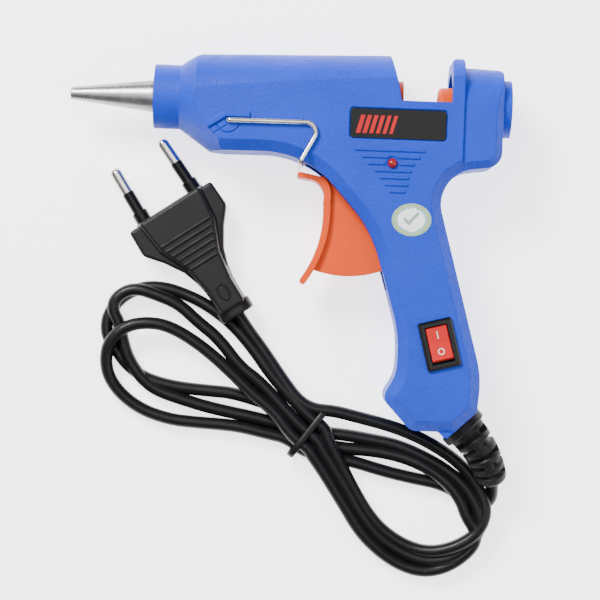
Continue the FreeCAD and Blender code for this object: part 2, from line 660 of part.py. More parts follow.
# ---------------------------------------------------------------- plug
def place_plug(shape):
    """From the plug's frame (X towards the pins, Y across, Z up) to its place."""
    copy = shape.copy()
    copy.rotate(V(0, 0, 0), Z, PLUG_TURN)
    copy.translate(PLUG)
    return copy


def plug_side(points, z0, z1):
    mirrored = [(s, -w) for s, w in reversed(points)]
    return plate(points + mirrored, z0, z1)


def plug_parts():
    wings = plug_side([(-1.0, 15.5), (-9.8, 15.6), (-15.0, 11.2), (-21.0, 7.6), (-28.0, 5.6),
                       (-40.0, 4.6)], -3.6, 3.6)
    block = plug_side([(0.0, 11.6), (-14.0, 8.6), (-26.0, 5.2), (-30.0, 4.4)], -6.85, 6.85)
    body = wings.fuse(block)
    pins, sleeves = [], []
    lean = math.degrees(math.atan2((PIN_SPACING - PIN_TIP_SPACING) / 2, PIN_LENGTH))
    for side in (1, -1):
        root = V(0, side * PIN_SPACING / 2, 0)
        core = cylinder(V(-6, 0, 0), X, 1.5, 16)
        tip = cylinder(V(10, 0, 0), X, 2.0, PIN_LENGTH - 12).fuse(
            Part.makeSphere(2.0, V(PIN_LENGTH - 2, 0, 0)))
        sleeve = ring(V(-0.5, 0, 0), X, 1.9, 1.5, 10.5).fuse(ring(V(-0.5, 0, 0), X, 2.5, 1.5, 3.5))
        for group, shape in ((pins, core.fuse(tip)), (sleeves, sleeve)):
            shape = shape.copy()
            shape.translate(root)
            group.append(spin(shape, root, -side * lean))
    body = body.cut(pins + sleeves)
    save("plug_body", place_plug(body))
    save("plug_pins", *[place_plug(p) for p in pins])
    save("pin_sleeves", *[place_plug(s) for s in sleeves])


def cord_to_plug():
    a = math.radians(PLUG_TURN)
    tail = PLUG - V(math.cos(a), math.sin(a), 0) * 40.0
    away = V(-math.cos(a), -math.sin(a), 0)
    points = [tail, tail + away * 7.0, V(-4.6, -35.6, 7.0), V(0.2, -42.0, 7.0),
              V(5.4, -47.9, 7.0)]
    return tube("cord_to_plug", points, CORD_R)


TIE = V(9.6, -59.7, 0)      # middle of the tie, on the surface
TIE_TURN = 54.0             # direction across the bundle, degrees about Z
TIE_HALF, TIE_TOP = 10.0, 10.2


def cord_tie():
    loop = rounded(-TIE_HALF, TIE_HALF, 0, TIE_TOP, 3.0, -1.1, 1.1)
    inside = rounded(-TIE_HALF + 0.8, TIE_HALF - 0.8, 0.8, TIE_TOP - 0.8, 2.4, -2, 2)
    loop = loop.cut(inside)
    loop.rotate(V(0, 0, 0), X, 90)
    loop.rotate(V(0, 0, 0), Z, TIE_TURN)
    loop.translate(TIE)
    return loop


# ---------------------------------------------------------------- the whole part
def build():
    left, right = housing()
    save("left_shell", left)
    save("right_shell", right)
    save("nozzle", nozzle())
    save("melt_barrel", melt_barrel())
    heater_parts()
    save("trigger", trigger())
    save("trigger_pin", cylinder(PIVOT - Z * 10.0, Z, 1.5, 20.0))
    save("feed_carriage", carriage())
    save("stick_gripper", gripper())
    save("gripper_pin", cylinder(GRIP - Z * 2.7, Z, 0.8, 5.4))
    save("return_spring", return_spring())
    save("stand_wire", stand_wire())
    switch_parts()
    lamp()
    labels()
    fasteners()
    leads()
    save("cord_guard", cord_guard())
    save("cord_exit", cord_exit())
    hank_left, hank_right = hanks()
    save("hank_left", hank_left)
    save("hank_right", hank_right)
    save("cord_to_plug", cord_to_plug())
    save("cord_tie", cord_tie())
    plug_parts()


build()
loose = {"cord_guard", "cord_exit", "hank_left", "hank_right", "cord_to_plug", "cord_tie",
         "plug_body", "plug_pins", "pin_sleeves"}
gun = Part.makeCompound([s for n, s in NODES.items() if n not in loose])
print(len(NODES), "nodes; gun", gun.optimalBoundingBox(False))
for name in ("left_shell", "right_shell"):
    for solid in NODES[name].Solids:
        print(name, round(solid.Volume, 1), solid.optimalBoundingBox(False))
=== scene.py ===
import bpy, math
from mathutils import Matrix, Vector


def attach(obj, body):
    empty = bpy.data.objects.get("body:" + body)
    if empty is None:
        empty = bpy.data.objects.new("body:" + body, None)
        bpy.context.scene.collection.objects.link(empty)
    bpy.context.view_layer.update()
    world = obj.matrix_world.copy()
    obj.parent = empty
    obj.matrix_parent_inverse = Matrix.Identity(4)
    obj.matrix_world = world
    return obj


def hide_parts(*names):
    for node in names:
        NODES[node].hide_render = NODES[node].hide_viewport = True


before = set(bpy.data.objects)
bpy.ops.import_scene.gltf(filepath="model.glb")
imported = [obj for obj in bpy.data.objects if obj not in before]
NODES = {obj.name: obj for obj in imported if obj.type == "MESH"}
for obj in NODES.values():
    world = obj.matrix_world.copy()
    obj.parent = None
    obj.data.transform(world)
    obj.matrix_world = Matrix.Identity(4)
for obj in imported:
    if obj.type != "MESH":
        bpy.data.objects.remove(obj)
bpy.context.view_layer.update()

MM_PER_M = 1000              # the helpers below take millimetres
ZM, TOP = 15.25, 28.75       # parting plane and the housing's left face, in millimetres
UPWARDS = Vector((0, 0, 1))
LEVEL = Matrix.Identity(4)
ROUND = 48                   # points round a circle


# ---------------------------------------------------------------- camera
def camera():
    """Almost straight above the part, with a long lens."""
    lens, sensor_width = 124.8, 36               # millimetres
    place, turn = (0.00535, -0.0182, 0.665), math.radians(2.2)
    data = bpy.data.cameras.new("camera")
    data.lens, data.sensor_width = lens, sensor_width
    data.clip_start, data.clip_end = 0.01, 10
    cam = bpy.data.objects.new("camera", data)
    bpy.context.scene.collection.objects.link(cam)
    cam.location = place
    cam.rotation_euler = (0, 0, turn)
    bpy.context.scene.camera = cam


# ---------------------------------------------------------------- mesh helpers (millimetres)
def piece(name, verts, faces, body, material, smooth=True):
    """A mesh that rides on a body."""
    mesh = bpy.data.meshes.new(name)
    mesh.from_pydata([tuple(c / MM_PER_M for c in v) for v in verts], [], faces)
    mesh.validate()
    mesh.update()
    obj = bpy.data.objects.new(name, mesh)
    bpy.context.scene.collection.objects.link(obj)
    obj.data.materials.append(material)
    if smooth:
        for polygon in mesh.polygons:
            polygon.use_smooth = True
    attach(obj, body)
    return obj


def soften(obj, width):
    """Round the sharp edges of a piece."""
    sharp = math.radians(30)
    bevel = obj.modifiers.new("edges", "BEVEL")
    bevel.width = width / MM_PER_M
    bevel.segments = 3
    bevel.limit_method = "ANGLE"
    bevel.angle_limit = sharp
    bevel.harden_normals = False


def tapered(lower, upper, z0, z1, matrix):
    """Vertices and faces of a prism whose two ends have different outlines with as many points."""
    n = len(lower)
    verts = [matrix @ Vector((x, y, z0)) for x, y in lower]
    verts += [matrix @ Vector((x, y, z1)) for x, y in upper]
    faces = [list(range(n))[::-1], list(range(n, 2 * n))]
    faces += [[i, (i + 1) % n, n + (i + 1) % n, n + i] for i in range(n)]
    return verts, faces


def prism(points, z0, z1, matrix):
    """An upright prism, moved by the matrix."""
    return tapered(points, points, z0, z1, matrix)


def oval(a, b):
    """An ellipse about the origin, with half axes a and b."""
    return [(a * math.cos(2 * math.pi * i / ROUND), b * math.sin(2 * math.pi * i / ROUND))
            for i in range(ROUND)]


def squared(value, power):
    """A sine or cosine pushed outwards, which makes a rounded rectangle of an ellipse."""
    return math.copysign(abs(value) ** power, value)


def rounded(left, radius):
    """How far a round edge falls back where this length is left to its end."""
    short = max(0, radius - left)
    return radius - math.sqrt(max(0, radius ** 2 - short ** 2))


def band(outer, inner, z0, z1, matrix):
    """A closed band between two outlines with as many points."""
    n = len(outer)
    rings = [(outer, z0), (outer, z1), (inner, z1), (inner, z0)]
    verts = [matrix @ Vector((x, y, z)) for ring, z in rings for x, y in ring]
    faces = []
    for k in range(4):
        for i in range(n):
            j = (i + 1) % n
            faces.append([k * n + i, k * n + j, ((k + 1) % 4) * n + j, ((k + 1) % 4) * n + i])
    return verts, faces


def sweep(points, section):
    """A tube along points.  section(s, total) returns the (across, up) outline at length s."""
    lengths = [0.0]
    for a, b in zip(points, points[1:]):
        lengths.append(lengths[-1] + (b - a).length)
    verts, count = [], 0
    for i, point in enumerate(points):
        ahead = points[min(i + 1, len(points) - 1)] - points[max(i - 1, 0)]
        side = ahead.cross(UPWARDS).normalized()
        up = side.cross(ahead).normalized()
        outline = section(lengths[i], lengths[-1])
        count = len(outline)
        verts += [point + side * a + up * b for a, b in outline]
    faces = []
    for i in range(len(points) - 1):
        for k in range(count):
            j = (k + 1) % count
            faces.append([i * count + k, i * count + j, (i + 1) * count + j, (i + 1) * count + k])
    faces.append(list(range(count)))
    faces.append([(len(points) - 1) * count + k for k in range(count)][::-1])
    return verts, faces


# ---------------------------------------------------------------- materials
class Nodes:
    """A small helper for building a node material."""

    def __init__(self, name):
        self.material = bpy.data.materials.new(name)
        self.material.use_nodes = True
        self.tree = self.material.node_tree
        self.tree.nodes.clear()
        self.out = self.tree.nodes.new("ShaderNodeOutputMaterial")
        self.shader = self.tree.nodes.new("ShaderNodeBsdfPrincipled")
        self.link(self.shader.outputs[0], self.out.inputs["Surface"])
        self.where = self.tree.nodes.new("ShaderNodeTexCoord").outputs["Object"]

    def link(self, a, b):
        self.tree.links.new(a, b)

    def add(self, kind, **values):
        node = self.tree.nodes.new(kind)
        for key, value in values.items():
            setattr(node, key, value)
        return node

    def put(self, **values):
        for key, value in values.items():
            socket = self.shader.inputs[key.replace("_", " ")]
            socket.default_value = value

    def stretch(self, scale, turn=(0, 0, 0)):
        node = self.add("ShaderNodeMapping")
        node.inputs["Scale"].default_value = scale
        node.inputs["Rotation"].default_value = turn
        self.link(self.where, node.inputs["Vector"])
        return node.outputs[0]

    def noise(self, scale, detail=3, rough=0.5, vector=None):
        node = self.add("ShaderNodeTexNoise")
        node.inputs["Scale"].default_value = scale
        node.inputs["Detail"].default_value = detail
        node.inputs["Roughness"].default_value = rough
        self.link(vector or self.where, node.inputs["Vector"])
        return node.outputs[0]

    def ramp(self, value, *stops):
        node = self.add("ShaderNodeValToRGB")
        elements = node.color_ramp.elements
        while len(elements) < len(stops):
            elements.new(0.5)
        for element, (position, color) in zip(elements, stops):
            element.position = position
            element.color = (*color, 1)
        self.link(value, node.inputs[0])
        return node.outputs[0]

    def spread(self, value, low, high, low_in=0.3, high_in=0.7):
        node = self.add("ShaderNodeMapRange")
        node.inputs[1].default_value = low_in
        node.inputs[2].default_value = high_in
        node.inputs[3].default_value = low
        node.inputs[4].default_value = high
        self.link(value, node.inputs[0])
        return node.outputs[0]

    def sum(self, *heights):
        total = heights[0]
        for height in heights[1:]:
            node = self.add("ShaderNodeMath", operation="ADD")
            self.link(total, node.inputs[0])
            self.link(height, node.inputs[1])
            total = node.outputs[0]
        return total

    def bump(self, height, strength, distance=0.0001, edge=None):
        node = self.add("ShaderNodeBump")
        node.inputs["Strength"].default_value = strength
        node.inputs["Distance"].default_value = distance
        self.link(height, node.inputs["Height"])
        if edge:
            bevel = self.add("ShaderNodeBevel", samples=6)
            bevel.inputs["Radius"].default_value = edge
            self.link(bevel.outputs[0], node.inputs["Normal"])
        self.link(node.outputs[0], self.shader.inputs["Normal"])


def plastic(name, color, roughness, grain=0.35, edge=0.0004, wear=0.25, grain_size=2600,
            variation=0.12, relief=0.00007):
    """Moulded plastic: a fine even grain, slight handling marks and soft edges."""
    m = Nodes(name)
    cloud = m.noise(60, 4, 0.6)
    dark = tuple(c * (1 - variation) for c in color)
    light = tuple(min(1, c * (1 + variation)) for c in color)
    m.link(m.ramp(cloud, (0.3, dark), (0.7, light)), m.shader.inputs["Base Color"])
    marks = m.noise(180, 5, 0.65, m.stretch((1, 2.5, 1), (0, 0, 0.6)))
    m.link(m.spread(marks, roughness - 0.5 * wear * roughness, roughness + wear * roughness),
           m.shader.inputs["Roughness"])
    m.bump(m.noise(grain_size, 2), grain, relief, edge)
    m.put(IOR=1.5, Specular_IOR_Level=0.2)
    return m


def metal(name, color, roughness, scale, turn=(0, 0, 0), strength=0.3, edge=0.0002, dirt=0.2):
    """Bare metal with drawn or turned lines and a few stains."""
    m = Nodes(name)
    lines = m.noise(400, 6, 0.7, m.stretch(scale, turn))
    stains = m.noise(90, 6, 0.6)
    dark = tuple(c * (1 - dirt) for c in color)
    m.link(m.ramp(stains, (0.35, dark), (0.6, color)), m.shader.inputs["Base Color"])
    m.link(m.spread(lines, roughness * 0.7, roughness * 1.5), m.shader.inputs["Roughness"])
    m.bump(lines, strength, 0.00003, edge)
    m.put(Metallic=1.0)
    return m


def sticker_material():
    """White film with a thin rainbow foil border, by the distance from its centre in metres."""
    centre, half_size = (0.0385, 0.0076, 0.02883), (0.00605, 0.0050, 1)
    m = Nodes("sticker_foil")
    shift = m.add("ShaderNodeVectorMath", operation="SUBTRACT")
    shift.inputs[1].default_value = centre
    m.link(m.where, shift.inputs[0])
    size = m.add("ShaderNodeVectorMath", operation="DIVIDE")
    size.inputs[1].default_value = half_size
    m.link(shift.outputs[0], size.inputs[0])
    far = m.add("ShaderNodeVectorMath", operation="LENGTH")
    m.link(size.outputs[0], far.inputs[0])
    wobble = m.spread(m.noise(700, 3), -0.05, 0.05)
    total = m.sum(far.outputs["Value"], wobble)
    color = m.ramp(total, (0.0, (0.93, 0.94, 0.93)), (0.66, (0.90, 0.93, 0.92)),
                   (0.75, (0.02, 0.36, 0.52)), (0.83, (0.60, 0.50, 0.01)),
                   (0.91, (0.01, 0.30, 0.48)), (0.98, (0.42, 0.50, 0.06)))
    m.link(color, m.shader.inputs["Base Color"])
    m.link(m.ramp(total, (0.68, (0.35, 0.35, 0.35)), (0.76, (0.15, 0.15, 0.15))),
           m.shader.inputs["Roughness"])
    m.bump(m.noise(1500, 2), 0.15, 0.00003)
    m.put(Coat_Weight=0.5)
    return m


def materials():
    """Every material by its short name."""
    mats = {}
    mats["shell"] = plastic("shell_blue", (0.005, 0.040, 0.50), 0.46, 0.8, 0.0006, grain_size=1150,
                            variation=0.08, relief=0.00022)
    mats["orange"] = plastic("orange_moulding", (0.70, 0.062, 0.0003), 0.44, 0.35, 0.0004,
                             variation=0.05)
    mats["gloss"] = plastic("black_gloss", (0.004, 0.004, 0.0045), 0.22, 0.15, 0.0003)
    mats["film"] = plastic("label_film", (0.003, 0.003, 0.0034), 0.24, 0.1, 0.0002)
    mats["red_ink"] = plastic("label_red", (0.48, 0.004, 0.008), 0.3, 0.2, 0.0001)
    mats["rocker"] = plastic("rocker_red", (0.52, 0.006, 0.006), 0.28, 0.15, 0.0004,
                             variation=0.06)
    mats["white"] = plastic("mark_white", (0.82, 0.80, 0.78), 0.4, 0.2, 0.0001, variation=0.04)
    mats["grey"] = plastic("mark_grey", (0.30, 0.36, 0.36), 0.4, 0.2, 0.0001)
    mats["lens"] = plastic("lamp_lens", (0.45, 0.008, 0.008), 0.12, 0.05, 0.0002)
    mats["lens"].put(Transmission_Weight=0.35, Coat_Weight=0.6)
    mats["guard"] = plastic("guard_rubber", (0.006, 0.006, 0.0065), 0.46, 0.35, 0.0003)
    mats["cord"] = plastic("cord_sheath", (0.005, 0.005, 0.0056), 0.34, 0.25, 0.0002,
                           grain_size=1500)
    mats["plug"] = plastic("plug_black", (0.006, 0.006, 0.0066), 0.42, 0.45, 0.0004)
    mats["tie"] = plastic("tie_black", (0.005, 0.005, 0.005), 0.35, 0.2, 0.0003)
    mats["silicone"] = plastic("silicone_red", (0.42, 0.06, 0.03), 0.55, 0.3, 0.0003)
    mats["ceramic"] = plastic("heater_cell", (0.68, 0.64, 0.55), 0.6, 0.5, 0.0002)
    mats["brown"] = plastic("lead_brown", (0.12, 0.045, 0.02), 0.4, 0.2, 0.0002)
    mats["blue"] = plastic("lead_blue", (0.02, 0.07, 0.35), 0.4, 0.2, 0.0002)
    mats["beige"] = plastic("resistor_beige", (0.55, 0.42, 0.25), 0.5, 0.3, 0.0002)
    mats["nozzle"] = metal("nozzle_aluminium", (0.35, 0.35, 0.355), 0.30, (6, 0.5, 0.5),
                           strength=0.55, dirt=0.35)
    mats["cast"] = metal("cast_aluminium", (0.6, 0.6, 0.6), 0.5, (1, 1, 1), strength=0.6)
    mats["wire"] = metal("wire_steel", (0.74, 0.73, 0.71), 0.18, (0.4, 3, 3), strength=0.15)
    mats["steel"] = metal("plain_steel", (0.58, 0.58, 0.57), 0.3, (1, 3, 1), strength=0.25)
    mats["brass"] = metal("brass_tab", (0.75, 0.55, 0.25), 0.3, (1, 3, 1), strength=0.2)
    mats["pin"] = metal("plug_nickel", (0.76, 0.73, 0.68), 0.16, (1, 1, 4), strength=0.15)
    mats["sticker"] = sticker_material()
    return {key: value.material for key, value in mats.items()}


FINISH = {
    "shell": ["left_shell", "right_shell"],
    "orange": ["trigger", "feed_carriage"],
    "gloss": ["switch_housing", "cord_clamp", "pin_sleeves"],
    "film": ["label_plate"],
    "sticker": ["rating_sticker"],
    "rocker": ["switch_rocker"],
    "lens": ["indicator_led"],
    "cord": ["inner_cord"],
    "silicone": ["inlet_sleeve"],
    "ceramic": ["ptc_heater"],
    "brown": ["live_lead", "switched_lead"],
    "blue": ["neutral_lead"],
    "beige": ["led_resistor"],
    "nozzle": ["nozzle"],
    "cast": ["melt_barrel"],
    "wire": ["stand_wire"],
    "steel": ["shell_screws", "clamp_screws", "heater_clip", "sleeve_clamp", "trigger_pin",
              "return_spring", "stick_gripper", "gripper_pin"],
    "brass": ["switch_terminals"],
    "pin": ["plug_pins"],
}


def finish_cad(mats):
    """Give the CAD nodes that stay in view their materials."""
    for key, names in FINISH.items():
        for name in names:
            obj = NODES[name]
            if not obj.material_slots:
                obj.data.materials.append(mats[key])
            for slot in obj.material_slots:
                slot.material = mats[key]


# ---------------------------------------------------------------- cord
TIE = Vector((9.6, -59.7, 0))
ACROSS, ALONG = Vector((0.588, 0.809, 0)), Vector((0.809, -0.588, 0))    # the strands run along
LOW, HIGH = 2.8, 7.6                     # heights of the two layers of strands in the tie
EXIT = Vector((67.6, -72.2, 9.6))        # the cord's middle at the end of its guard
PLUG = Vector((-37.3, 10.4, 6.85))       # the middle of the face that the pins stand on
PLUG_TURN = math.radians(124.5)
PLUG_PLACE = Matrix.Translation(PLUG) @ Matrix.Rotation(PLUG_TURN, 4, "Z")

# The cord's route.  Each list is one turn of a lobe, and its points are in the order that the
# cord runs.
LEFT_FIRST = [
    (-3.1, -61.1, 2.8), (-12.0, -59.2, 2.8), (-18.3, -58.7, 2.8), (-25.5, -58.4, 2.9),
    (-34.4, -57.8, 2.9), (-43.4, -55.1, 2.9), (-50.3, -50.4, 3.4), (-54.5, -44.8, 4.5),
    (-55.6, -39.0, 5.7), (-54.5, -33.6, 6.8), (-49.8, -28.6, 7.5), (-42.7, -27.0, 7.5),
    (-35.5, -28.0, 7.5), (-26.4, -33.0, 7.6), (-17.2, -40.2, 7.6), (-8.0, -48.8, 7.6),
    (-1.1, -53.9, 7.6),
]
LEFT_SECOND = [
    (-8.6, -55.9, 2.8), (-16.7, -54.5, 2.8), (-23.4, -53.2, 2.9), (-30.2, -51.4, 2.9),
    (-39.2, -48.7, 3.1), (-44.3, -44.8, 3.6), (-48.5, -38.8, 4.0), (-50.3, -33.5, 4.5),
    (-51.6, -27.7, 4.7), (-53.7, -24.3, 4.9), (-53.7, -20.7, 5.1), (-50.2, -17.4, 5.3),
    (-45.8, -16.6, 5.6), (-40.4, -18.2, 5.9), (-33.1, -20.8, 6.3), (-26.7, -26.3, 6.6),
    (-19.8, -31.4, 6.9), (-12.8, -40.1, 7.3), (-5.9, -44.7, 7.6),
]
LEFT_THIRD = [
    (-13.3, -48.6, 2.8), (-23.6, -48.1, 2.8), (-33.5, -47.3, 2.8), (-42.5, -45.2, 2.8),
    (-48.4, -41.4, 2.8), (-52.6, -36.3, 2.8), (-55.0, -32.8, 2.8), (-56.0, -29.2, 2.8),
    (-55.3, -24.8, 2.8), (-51.5, -19.3, 2.9), (-44.9, -15.9, 3.0), (-37.8, -15.8, 3.1),
    (-31.0, -17.8, 3.2), (-24.0, -20.9, 4.3), (-16.0, -26.4, 5.4), (-8.8, -34.1, 6.5),
    (-2.4, -42.8, 7.6),
]
RIGHT_FIRST = [
    (10.5, -66.5, 7.6), (14.1, -71.2, 6.7), (22.4, -83.6, 5.8), (26.5, -90.2, 4.8),
    (32.6, -96.3, 3.9), (39.6, -100.9, 3.0), (47.0, -103.1, 3.1), (54.2, -101.8, 3.3),
    (60.4, -97.7, 3.9), (64.1, -92.7, 5.3), (63.2, -88.3, 6.7), (60.4, -84.5, 7.3),
    (58.7, -79.7, 7.1), (54.6, -74.5, 6.6), (48.1, -69.9, 5.0), (40.2, -66.8, 3.5),
    (30.9, -65.2, 2.9), (21.2, -64.9, 2.8),
]
RIGHT_SECOND = [
    (13.9, -64.9, 7.6), (18.0, -71.1, 6.7), (22.2, -77.7, 5.8), (26.3, -84.4, 4.8),
    (32.4, -91.9, 3.9), (39.4, -96.5, 3.0), (47.3, -99.6, 3.6), (55.1, -98.9, 4.3),
    (61.2, -94.7, 5.3), (64.7, -89.7, 6.3), (64.8, -84.9, 7.4), (63.1, -80.1, 7.4),
    (59.5, -74.8, 7.2), (54.5, -70.7, 6.6), (48.0, -67.0, 5.0), (38.1, -63.0, 3.5),
    (28.4, -61.5, 2.9), (21.5, -60.5, 2.8),
]
RIGHT_THIRD = [
    (15.2, -61.0, 7.6), (19.9, -69.1, 6.7), (24.1, -76.7, 5.8), (29.2, -84.8, 4.8),
    (34.3, -90.4, 3.9), (41.8, -95.0, 3.5), (49.2, -96.6, 5.2), (56.4, -94.9, 6.5),
    (62.6, -91.3, 7.0), (65.8, -86.8, 7.5), (66.6, -81.9, 7.7), (64.9, -77.1, 7.5),
    (61.3, -71.4, 7.4), (55.3, -65.8, 7.2), (45.3, -60.3, 7.2), (35.5, -56.8, 7.3),
    (24.2, -54.3, 7.3),
]
ENTRY = [                                # from the guard to the tie
    (53.7, -75.1, 2.7), (43.4, -73.5, 2.7), (33.6, -71.5, 2.8), (22.8, -68.5, 2.8),
]
TO_PLUG = [                              # from the tie to the plug
    (17.5, -52.8, 7.4), (11.2, -52.6, 7.6), (6.0, -50.0, 7.6), (0.6, -43.2, 7.2),
    (-5.4, -34.8, 7.0),
]


def through_tie(across, height, way):
    """Two points where a strand goes through the tie.  way is 1 to the right, -1 to the left."""
    reach = 4.0
    return [tuple(TIE + ACROSS * across + ALONG * (reach * way * k) + Vector((0, 0, height)))
            for k in (-1, 1)]


def cord_route():
    """All points of the route, from the guard through both lobes three times to the plug."""
    start = [tuple(EXIT), (68.7, -76.6, 6.4), (67.3, -80.6, 3.5), (62.4, -80.9, 2.8)]
    route = start + ENTRY + through_tie(-6.0, LOW, -1)
    route += LEFT_FIRST + through_tie(-4.2, HIGH, 1) + RIGHT_FIRST
    route += through_tie(-1.8, LOW, -1) + LEFT_SECOND + through_tie(-0.2, HIGH, 1) + RIGHT_SECOND
    route += through_tie(2.4, LOW, -1) + LEFT_THIRD + through_tie(4.0, HIGH, 1) + RIGHT_THIRD
    turned = Matrix.Rotation(PLUG_TURN, 3, "Z")
    last = [tuple(PLUG + turned @ Vector((back, 0, 0))) for back in (-46.0, -39.0)]
    return route + TO_PLUG + last


def smooth_line(route):
    """Points along the NURBS spline that has the route as its control points."""
    data = bpy.data.curves.new("cord_line", "CURVE")
    data.dimensions = "3D"
    spline = data.splines.new("NURBS")
    spline.points.add(len(route) - 1)
    for point, place in zip(spline.points, route):
        point.co = (*[c / MM_PER_M for c in place], 1)
    spline.order_u = 3
    spline.use_endpoint_u = True
    data.resolution_u = 10
    holder = bpy.data.objects.new("cord_line", data)
    mesh = bpy.data.meshes.new_from_object(holder)
    points = [v.co * MM_PER_M for v in mesh.vertices]
    bpy.data.objects.remove(holder)
    return points


def twin_section(s, total):
    """Flat twin flex on its edge: two round cores in one sheath, the same all along."""
    half_width, half_height, waist_depth, waist_spread, count = 2.15, 2.65, 0.16, 0.24, 24
    outline = []
    for i in range(count):
        a = 2 * math.pi * i / count
        waist = 1 - waist_depth * math.exp(-(math.sin(a) / waist_spread) ** 2)
        outline.append((half_width * math.cos(a) * waist, half_height * math.sin(a)))
    return outline


def make_cord(mats):
    """The cord from its guard to the plug, and the line that it follows, in metres."""
    points = smooth_line(cord_route())
    verts, faces = sweep(points, twin_section)
    flex = piece("cord", verts, faces, "housing", mats["cord"])
    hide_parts("cord_exit", "hank_left", "hank_right", "cord_to_plug")
    return flex, [p / MM_PER_M for p in points]


# ---------------------------------------------------------------- guard, tie and plug
GLAND = Vector((56.6, -54.8, ZM))        # middle of the hole in the handle's end
GUARD_TURN = math.radians(-46)
GUARD_OUT = Vector((math.cos(GUARD_TURN), math.sin(GUARD_TURN), 0))


def guard_sleeve(mats):
    """The tapering ribbed sleeve, which bends down to the surface in one arc."""
    start = GLAND + GUARD_OUT * 3.2
    side = Vector((math.sin(GUARD_TURN), -math.cos(GUARD_TURN), 0))
    bend = (side * 0.6 - Vector((0, 0, 0.8))).normalized()
    radius, angle, steps = 24.0, math.radians(45), 132
    points = []
    for i in range(steps + 1):
        a = angle * i / steps
        points.append(start + GUARD_OUT * (radius * math.sin(a)) + bend * (radius * (1 - math.cos(a))))
    root_radius, taper, end_round = 5.95, 0.05, 1.6
    grooves, groove_half, groove_depth, bridge = [2.2, 5.4, 8.6, 11.8, 15.0], 0.85, 2.0, 0.3

    def section(s, total):
        outer = root_radius - taper * s - rounded(total - s, end_round)
        outline = []
        for k in range(ROUND):
            a = 2 * math.pi * k / ROUND
            r = outer
            for g, place in enumerate(grooves):
                # the grooves leave bridges at the sides and at top and bottom by turns
                across = math.sin(a) if g % 2 == 0 else math.cos(a)
                if abs(s - place) < groove_half and abs(across) > bridge:
                    r = outer - groove_depth
            outline.append((r * math.cos(a), r * math.sin(a)))
        return outline

    verts, faces = sweep(points, section)
    return piece("guard_sleeve", verts, faces, "housing", mats["guard"])


def guard_collar(mats):
    """The round collar against the handle's end, with its neck in the gland hole."""
    neck_length, neck_radius, collar_radius, edge_round = 4.1, 4.0, 7.3, 0.8
    inner_end, step, count = -4.2, 0.2, 38
    path = [GLAND + GUARD_OUT * (inner_end + step * i) for i in range(count)]

    def section(s, total):
        if s < neck_length:
            return oval(neck_radius, neck_radius)
        r = collar_radius - rounded(min(s - neck_length, total - s), edge_round)
        return oval(r, r)

    verts, faces = sweep(path, section)
    return piece("guard_collar", verts, faces, "housing", mats["guard"])


def guard(mats):
    """Strain relief where the cord leaves the handle."""
    sleeve = guard_sleeve(mats)
    ring = guard_collar(mats)
    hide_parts("cord_guard")
    return [sleeve, ring]


def tie(mats):
    """A flat band round the strands, as a rounded rectangle."""
    half_width, half_height, middle, squareness, steps = 9.6, 4.85, 5.35, 0.55, 96
    strip = [(-1.1, 0), (-0.9, 0.4), (0.9, 0.4), (1.1, 0), (0.9, -0.3), (-0.9, -0.3)]
    path = []
    for i in range(steps + 1):
        a = 2 * math.pi * i / steps
        path.append((half_width * squared(math.cos(a), squareness),
                     middle + half_height * squared(math.sin(a), squareness)))
    verts, faces = [], []
    for i in range(steps):
        x, z = path[i]
        x0, z0 = path[i - 1]
        x1, z1 = path[i + 1]
        normal = Vector((z1 - z0, -(x1 - x0))).normalized()
        for t, h in strip:
            verts.append(TIE + ACROSS * (x + normal.x * h) + ALONG * t
                         + Vector((0, 0, z + normal.y * h)))
    n = len(strip)
    for i in range(steps):
        for k in range(n):
            j, m = (k + 1) % n, (i + 1) % steps
            faces.append([i * n + k, m * n + k, m * n + j, i * n + j])
    loop = piece("tie_band", verts, faces, "housing", mats["tie"])
    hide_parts("cord_tie")
    return loop


def both_sides(points):
    """A whole outline from its half on the +Y side."""
    return points + [(s, -w) for s, w in reversed(points)]


def plug_piece(name, shape, mats, edge=0):
    """A piece of the plug, either with edges rounded by a width or smooth all over."""
    verts, faces = shape
    obj = piece("plug_" + name, verts, faces, "housing", mats["plug"], not edge)
    if edge:
        soften(obj, edge)
    return obj


def plug_blocks(mats):
    """The thin wings, and the thick middle in two halves that narrow towards top and bottom."""
    wings = both_sides([(-1.0, 15.2), (-9.8, 15.5), (-15.0, 11.2), (-21.0, 7.4), (-27.0, 5.4)])
    wide = both_sides([(0.0, 12.6), (-12.0, 11.4), (-21.0, 7.0), (-30.0, 5.2), (-38.6, 4.9)])
    narrow = both_sides([(-0.8, 11.0), (-11.6, 9.8), (-21.0, 5.6), (-30.0, 4.2), (-38.6, 4.1)])
    wing_half, upper, lower = 3.7, 6.6, -6.85
    return [
        plug_piece("wings", prism(wings, -wing_half, wing_half, PLUG_PLACE), mats, 1.0),
        plug_piece("block_upper", tapered(wide, narrow, 0.0, upper, PLUG_PLACE), mats, 0.9),
        plug_piece("block_lower", tapered(narrow, wide, lower, 0.0, PLUG_PLACE), mats, 0.9),
    ]


def plug_oval(mats):
    """The raised oval rim near the cord's end."""
    rim = PLUG_PLACE @ Matrix.Translation((-32.6, 0, 0))
    return plug_piece("oval", band(oval(3.0, 1.9), oval(2.3, 1.25), 6.2, 6.95, rim), mats)


def plug_ribs(mats):
    """Six grip ribs across the top, which shorten as the plug narrows."""
    first, pitch, half, widest, narrowing, corner = -10.6, 2.15, 0.55, 9.6, 0.86, 0.45
    ribs = []
    for i in range(6):
        s = first - pitch * i
        w = widest - narrowing * i
        outline = [(s + half, w), (s - half, w - corner), (s - half, corner - w), (s + half, -w)]
        ribs.append(plug_piece(f"rib_{i + 1}", prism(outline, 4.0, 7.1, PLUG_PLACE), mats, 0.35))
    return ribs


